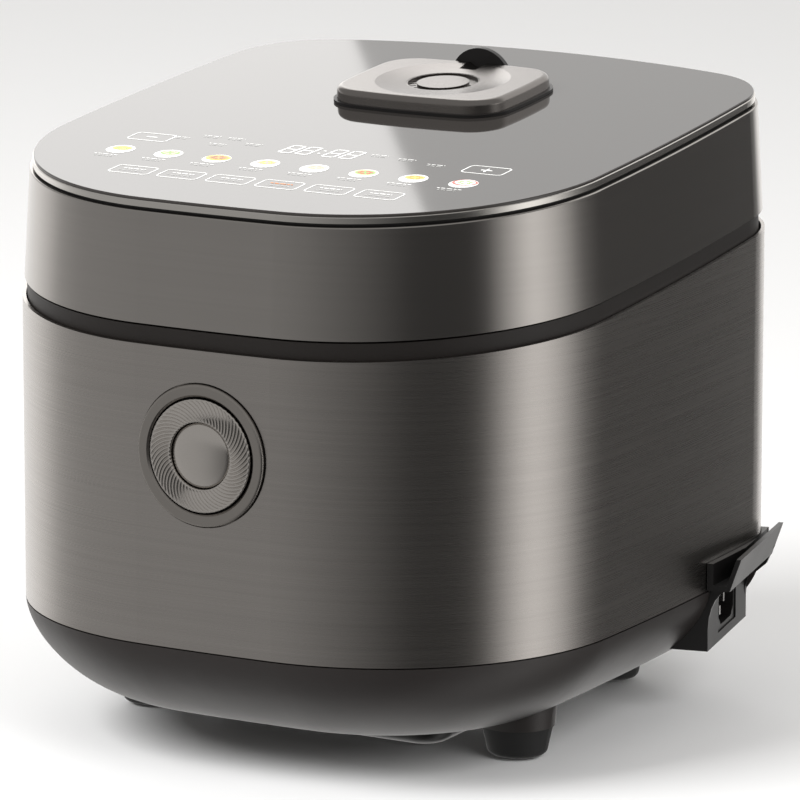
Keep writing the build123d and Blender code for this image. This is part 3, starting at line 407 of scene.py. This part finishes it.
def printBar(colour, start, end, breadth, layer=0):
    # a straight stroke with pointed ends, like one segment of a digit
    a, b = Vector(start), Vector(end)
    along = (b - a).normalized()
    across = Vector((-along.y, along.x)) * breadth / 2
    tip = along * breadth / 2
    printShape(colour, [a - tip, a - across, b - across, b + tip, b + across, a + across], layer)


def printOval(colour, x, y, halfX, halfY, layer=0, sides=24):
    angles = [2 * pi * index / sides for index in range(sides)]
    printShape(colour, [(x + halfX * cos(angle), y + halfY * sin(angle)) for angle in angles], layer)


def printFrame(colour, x, y, sizeX, sizeY, corner, breadth):
    # a rounded outline made as one closed ribbon
    points = []
    for quarter, (signX, signY) in enumerate(((1, 1), (-1, 1), (-1, -1), (1, -1))):
        for step in range(7):  # seven points turn one corner
            angle = radians(90 * quarter + 15 * step)
            points.append(((signX * (sizeX / 2 - corner), signY * (sizeY / 2 - corner)), angle))
    grid = printed[colour]
    loops = []
    inkTop = inkLift + inkThickness
    inside = corner - breadth
    for lift, radius in ((inkLift, corner), (inkTop, corner), (inkTop, inside), (inkLift, inside)):
        loop = []
        for (cornerX, cornerY), angle in points:
            place = (x + cornerX + radius * cos(angle), y + cornerY + radius * sin(angle))
            loop.append(grid.verts.new(panelPoint(*place, lift)))
        loops.append(loop)
    for first, second in zip(loops, loops[1:] + loops[:1]):
        for index in range(len(first)):
            following = (index + 1) % len(first)
            grid.faces.new((first[index], first[following], second[following], second[index]))


dash = dict(shortest=0.9, step=0.7, gap=1.0)


def printLabel(colour, x, y, length, breadth=0.55):
    # short dashes stand for a small label
    end = x + length / 2
    position = x - length / 2
    index = 0
    while position < end:
        reach = dash["shortest"] + dash["step"] * ((index * 7) % 3)
        printBar(colour, (position, y), (min(position + reach, end), y), breadth)
        position += reach + dash["gap"]
        index += 1


menu = dict(pitch=23.6, foodY=-77.5, keyY=-106.0, keySize=(19.5, 12.0), keyCorner=2.4, line=0.50,
            stepKeyX=81.0, stepKeyY=-54.6, bowl=6.2, labelShift=-1.5, labelDrop=9.4, rowDrop=2.6, keyRow=1.6,
            foods=[("yellow", "green", "white"), ("green", "pale", "white"), ("orange", "brown", "yellow"),
                   ("pink", "yellow", "white"), ("pale", "pink", "white"), ("green", "red", "cream"),
                   ("yellow", "orange", "white"), ("white", "green", "red")])


def printFood(x, y, look, colours):
    # a plate, its foot, its rim, the food and six bits of garnish, sized by the plate's half width
    topping, garnish, rim = colours
    half = look["bowl"]
    printOval("white", x, y, half, half * 1.05)
    printOval("grey", x, y - half * 0.80, half * 0.52, half * 0.17, 1)
    printOval(rim, x, y + half * 0.22, half * 0.92, half * 0.72, 1)
    printOval(topping, x, y + half * 0.25, half * 0.74, half * 0.54, 2)
    for index in range(6):
        turned = radians(60 * index + 20)
        printOval(garnish, x + half * 0.42 * cos(turned), y + half * (0.25 + 0.28 * sin(turned)), half * 0.15,
                  half * 0.13, 3)


for index, colours in enumerate(menu["foods"]):
    foodX = (index - 3.5) * menu["pitch"]
    printFood(foodX, menu["foodY"], menu, colours)
    labelX, labelY = foodX + menu["labelShift"], menu["foodY"] - menu["labelDrop"]
    printLabel("white", labelX, labelY, 11.0)
    printLabel("grey", labelX, labelY - menu["rowDrop"], 8.5, breadth=0.4)
for index in range(6):
    keyX = (index - 2.5) * menu["pitch"]
    printFrame("white", keyX, menu["keyY"], *menu["keySize"], menu["keyCorner"], menu["line"])
    printLabel("orange" if index == 3 else "white", keyX, menu["keyY"] + menu["keyRow"], 10.0, breadth=0.75)
    printLabel("grey", keyX, menu["keyY"] - menu["keyRow"], 12.0, breadth=0.4)
sign = dict(half=2.4, breadth=0.8)  # the minus and plus marks
for keyX in (-menu["stepKeyX"], menu["stepKeyX"]):
    keyY = menu["stepKeyY"]
    printFrame("white", keyX, keyY, *menu["keySize"], menu["keyCorner"], menu["line"])
    printBar("white", (keyX - sign["half"], keyY), (keyX + sign["half"], keyY), sign["breadth"])
printBar("white", (keyX, keyY - sign["half"]), (keyX, keyY + sign["half"]), sign["breadth"])

clock = dict(x=1.0, y=-52.0, digitX=5.6, digitY=12.0, gap=2.6, breadth=0.8, slant=0.12, colonY=2.2,
             dot=0.65)


def printDigit(x, look):
    # all seven segments of one leaning digit
    halfX, halfY = look["digitX"] / 2, look["digitY"] / 2
    inset = look["breadth"] * 0.65

    def lean(px, py):
        return (x + px + look["slant"] * py, look["y"] + py)

    for level in (-halfY, 0, halfY):
        printBar("white", lean(-halfX + inset, level), lean(halfX - inset, level), look["breadth"])
    for sideX in (-halfX, halfX):
        for low, high in ((-halfY, 0), (0, halfY)):
            printBar("white", lean(sideX, low + inset), lean(sideX, high - inset), look["breadth"])


digitPitch = clock["digitX"] + clock["gap"]
for place in (-1.78, -0.78, 0.78, 1.78):  # in digit pitches from the colon
    printDigit(clock["x"] + place * digitPitch, clock)
for spotY in (-clock["colonY"], clock["colonY"]):
    printOval("white", clock["x"] + clock["slant"] * spotY, clock["y"] + spotY, clock["dot"], clock["dot"])
leftLabels = [(-57, -44), (-45, -44), (-69, -50), (-48, -55), (-33, -50)]
rightLabels = [(27, -48), (41, -50), (57, -54)]
for labelX, labelY in leftLabels + rightLabels:
    printLabel("white", labelX, labelY, 8.0, breadth=0.5)
    printLabel("grey", labelX, labelY - 2.3, 6.5, breadth=0.4)

for colour, grid in printed.items():
    bmesh.ops.recalc_face_normals(grid, faces=grid.faces)
    inkMesh = bpy.data.meshes.new("panelPrint_" + colour)
    grid.to_mesh(inkMesh)
    grid.free()
    if inkMesh.polygons:
        addPiece("panelPrint_" + colour, inkMesh, "lid", inks[colour], smooth=False)
print("panel printed")


# floor, light and camera
view = dict(turn=29.42, tilt=12.25, distance=2.8978, target=(0, 0, 0.136), lens=303.2, shiftX=0.0241)
studio = dict(backdrop=(1.0, 1.0, 1.0), tint=(1.0, 0.985, 0.965), ambient=0.45, behindBright=2.50,
              behindDim=1.15, edgeLow=(210.68, 17.01), edgeHigh=(210.20, 18.49), edgeBlur=(-0.0006, 0.0006),
              behindFrom=(0.45, 0.7), highFrom=(0.03, 0.16))
# brightness round the room at the height of the body, by direction in degrees from the front
strips = [(-180, 1.30), (-112, 1.30), (-98, 1.05), (-86, 0.60), (-70, 0.46), (-33, 0.42), (-12, 0.34),
          (18, 0.17), (38, 0.05), (74, 0.045), (86, 0.80), (98, 1.60), (112, 1.05), (128, 0.22), (142, 0.08),
          (166, 0.09), (179, 1.20)]


def roomDirection(turn, tilt):
    # turn in degrees from the front towards the right, tilt up from level
    flat = cos(radians(tilt))
    return Vector((sin(radians(turn)) * flat, -cos(radians(turn)) * flat, sin(radians(tilt))))


def addRange(nodes, links, source, span, result=(0.0, 1.0)):
    node = nodes.new("ShaderNodeMapRange")
    links.new(source, node.inputs["Value"])
    for label, value in zip(("From Min", "From Max", "To Min", "To Max"), (*span, *result)):
        node.inputs[label].default_value = value
    return node.outputs[0]


def buildStudio(look):
    # strips of light round the body, and above them two tones behind it that meet on one straight edge
    world = bpy.data.worlds.new("studio")
    bpy.context.scene.world = world
    world.use_nodes = True
    nodes, links = world.node_tree.nodes, world.node_tree.links
    nodes.clear()
    direction = nodes.new("ShaderNodeTexCoord").outputs["Generated"]
    split = nodes.new("ShaderNodeSeparateXYZ")
    links.new(direction, split.inputs[0])
    forward = addMath(nodes, links, "MULTIPLY", split.outputs["Y"], -1.0)
    turn = addMath(nodes, links, "ARCTAN2", split.outputs["X"], forward)
    ramp = nodes.new("ShaderNodeValToRGB")
    links.new(addMath(nodes, links, "MULTIPLY_ADD", turn, 1 / (2 * pi), 0.5), ramp.inputs["Fac"])
    stops = ramp.color_ramp.elements
    while len(stops) < len(strips):
        stops.new(0.5)
    for stop, (degrees, value) in zip(stops, strips):
        stop.position = degrees / 360 + 0.5
        stop.color = (value, value, value, 1)
    across = roomDirection(*look["edgeHigh"]).cross(roomDirection(*look["edgeLow"])).normalized()
    dot = nodes.new("ShaderNodeVectorMath")
    dot.operation = "DOT_PRODUCT"
    links.new(direction, dot.inputs[0])
    dot.inputs[1].default_value = across
    tones = (look["behindDim"], look["behindBright"])
    side = addRange(nodes, links, dot.outputs["Value"], look["edgeBlur"], tones)
    behind = addRange(nodes, links, split.outputs["Y"], look["behindFrom"])
    high = addRange(nodes, links, split.outputs["Z"], look["highFrom"])
    upper = nodes.new("ShaderNodeMix")
    links.new(behind, upper.inputs[0])
    upper.inputs[2].default_value = look["ambient"]
    links.new(side, upper.inputs[3])
    room = nodes.new("ShaderNodeMix")
    links.new(high, room.inputs[0])
    links.new(ramp.outputs["Color"], room.inputs[2])
    links.new(upper.outputs[0], room.inputs[3])
    tint = nodes.new("ShaderNodeVectorMath")
    tint.operation = "SCALE"
    tint.inputs[0].default_value = look["tint"]
    links.new(room.outputs[0], tint.inputs["Scale"])
    painted = nodes.new("ShaderNodeBackground")
    links.new(tint.outputs[0], painted.inputs["Color"])
    plain = nodes.new("ShaderNodeBackground")
    plain.inputs["Color"].default_value = (*look["backdrop"], 1)
    choose = nodes.new("ShaderNodeMixShader")
    links.new(nodes.new("ShaderNodeLightPath").outputs["Is Camera Ray"], choose.inputs[0])
    links.new(painted.outputs[0], choose.inputs[1])
    links.new(plain.outputs[0], choose.inputs[2])
    links.new(choose.outputs[0], nodes.new("ShaderNodeOutputWorld").inputs["Surface"])


lampTarget = Vector((0, 0, 0.12))


def addLamp(name, place, size, energy):
    lamp = bpy.data.lights.new(name, "AREA")
    lamp.size = size
    lamp.energy = energy
    holder = bpy.data.objects.new(name, lamp)
    holder.location = place
    holder.rotation_euler = (lampTarget - Vector(place)).to_track_quat("-Z", "Y").to_euler()
    holder.visible_glossy = False
    bpy.context.scene.collection.objects.link(holder)


def addFloor(half=6.0):
    mesh = bpy.data.meshes.new("studioFloor")
    corners = [(-half, -half, 0), (half, -half, 0), (half, half, 0), (-half, half, 0)]
    mesh.from_pydata(corners, [], [(0, 1, 2, 3)])
    floor = bpy.data.objects.new("studioFloor", mesh)
    bpy.context.scene.collection.objects.link(floor)
    paper = makeFinish("floorPaper", "grain", (0.86, 0.86, 0.86), 0.85, bump=0.05, Size=300.0, Tone=0.01)
    mesh.materials.append(paper)
    floor.visible_glossy = False


def addCamera(look):
    camera = bpy.data.cameras.new("camera")
    camera.lens = look["lens"]
    camera.sensor_width = 36.0
    camera.shift_x = look["shiftX"]
    holder = bpy.data.objects.new("camera", camera)
    away = roomDirection(look["turn"], look["tilt"])
    holder.location = Vector(look["target"]) + away * look["distance"]
    holder.rotation_euler = (-away).to_track_quat("-Z", "Y").to_euler()
    bpy.context.scene.collection.objects.link(holder)
    bpy.context.scene.camera = holder


bpy.context.scene.view_settings.view_transform = "Standard"
buildStudio(studio)
addLamp("keyLamp", (-1.3, -1.7, 2.0), 1.6, 85.0)
addLamp("fillLamp", (1.9, -0.8, 1.3), 1.4, 30.0)
addFloor()
addCamera(view)
print("studio ready")
